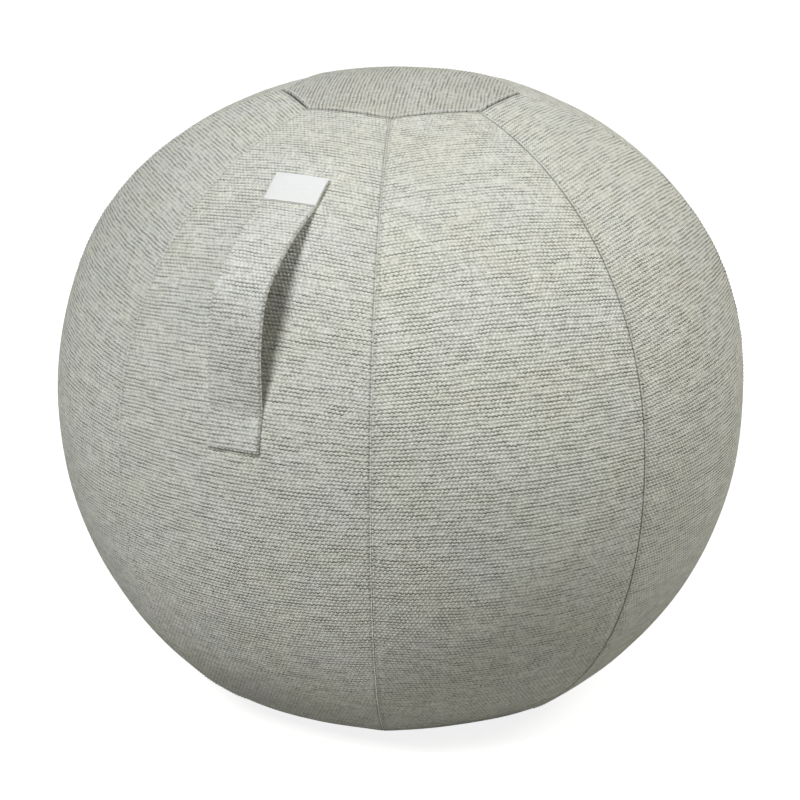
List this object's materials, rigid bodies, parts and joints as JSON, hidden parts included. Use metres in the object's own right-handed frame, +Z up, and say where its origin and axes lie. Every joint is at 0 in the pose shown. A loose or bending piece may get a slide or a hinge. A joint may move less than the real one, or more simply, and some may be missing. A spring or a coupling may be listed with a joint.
{
  "type": "sitting ball",
  "caption": "Inflated sitting ball in a sewn gore-panel cover of coarse weave, with a carry strap, a rear zip and a floor ring that keeps it from rolling away.",
  "frame": {"origin": "on the floor, under the middle of the ball", "axes": "+Z up along the ball's axis, -Y towards the panel with the carry strap"},
  "size_m": [0.6498, 0.6501, 0.5861],
  "materials": {
    "cover_weave": "coarse slub upholstery weave",
    "strap_weave": "coarse slub upholstery weave",
    "label_cloth": "smooth white tape",
    "base_cloth": "dark plain weave",
    "ring_plastic": "smooth tube",
    "ball_vinyl": "matt vinyl",
    "plug_plastic": "moulded",
    "zip_tape": "woven tape",
    "zip_plastic": "moulded teeth",
    "zip_metal": "dark plated"
  },
  "bodies": {
    "cover": {"cover_panel_1": "cover_weave", "cover_panel_2": "cover_weave", "cover_panel_3": "cover_weave", "cover_panel_4": "cover_weave", "cover_panel_5": "cover_weave", "cover_panel_6": "cover_weave", "cover_panel_7": "cover_weave", "cover_panel_8": "cover_weave", "top_panel": "cover_weave", "base_panel": "base_cloth", "ring_tunnel": "base_cloth", "floor_ring": "ring_plastic", "inner_ball": "ball_vinyl", "valve_seat": "ball_vinyl", "air_plug": "plug_plastic", "handle_lower_end": "strap_weave", "handle_upper_end": "strap_weave", "handle_label": "label_cloth", "zip_tape_left": "zip_tape", "zip_tape_right": "zip_tape", "zip_teeth_left": "zip_plastic", "zip_teeth_right": "zip_plastic", "zip_top_stops": "zip_metal", "zip_bottom_stop": "zip_metal"},
    "strap_grip": {"handle_grip": "strap_weave"},
    "slider": {"zip_slider": "zip_metal"},
    "pull": {"zip_pull": "zip_metal"}
  },
  "joints": [
    {"name": "handle_lift", "type": "slide", "parent": "cover", "child": "strap_grip", "axis": [0, -0.8635, 0.5044], "range_m": [-0.008, 0.006], "stiffness_N_per_m": 200},
    {"name": "zip_slider_travel", "type": "hinge", "parent": "cover", "child": "slider", "pos_m": [-0.00717, -0.01731, 0.28134], "axis": [-0.9239, 0.3827, 0], "range_deg": [0, 34.9], "deforming": ["zip_teeth_left", "zip_teeth_right"]},
    {"name": "zip_pull_swing", "type": "hinge", "parent": "slider", "child": "pull", "pos_m": [0.12519, 0.30224, 0.30424], "axis": [0.9239, -0.3827, 0], "range_deg": [0, 160]}
  ]
}
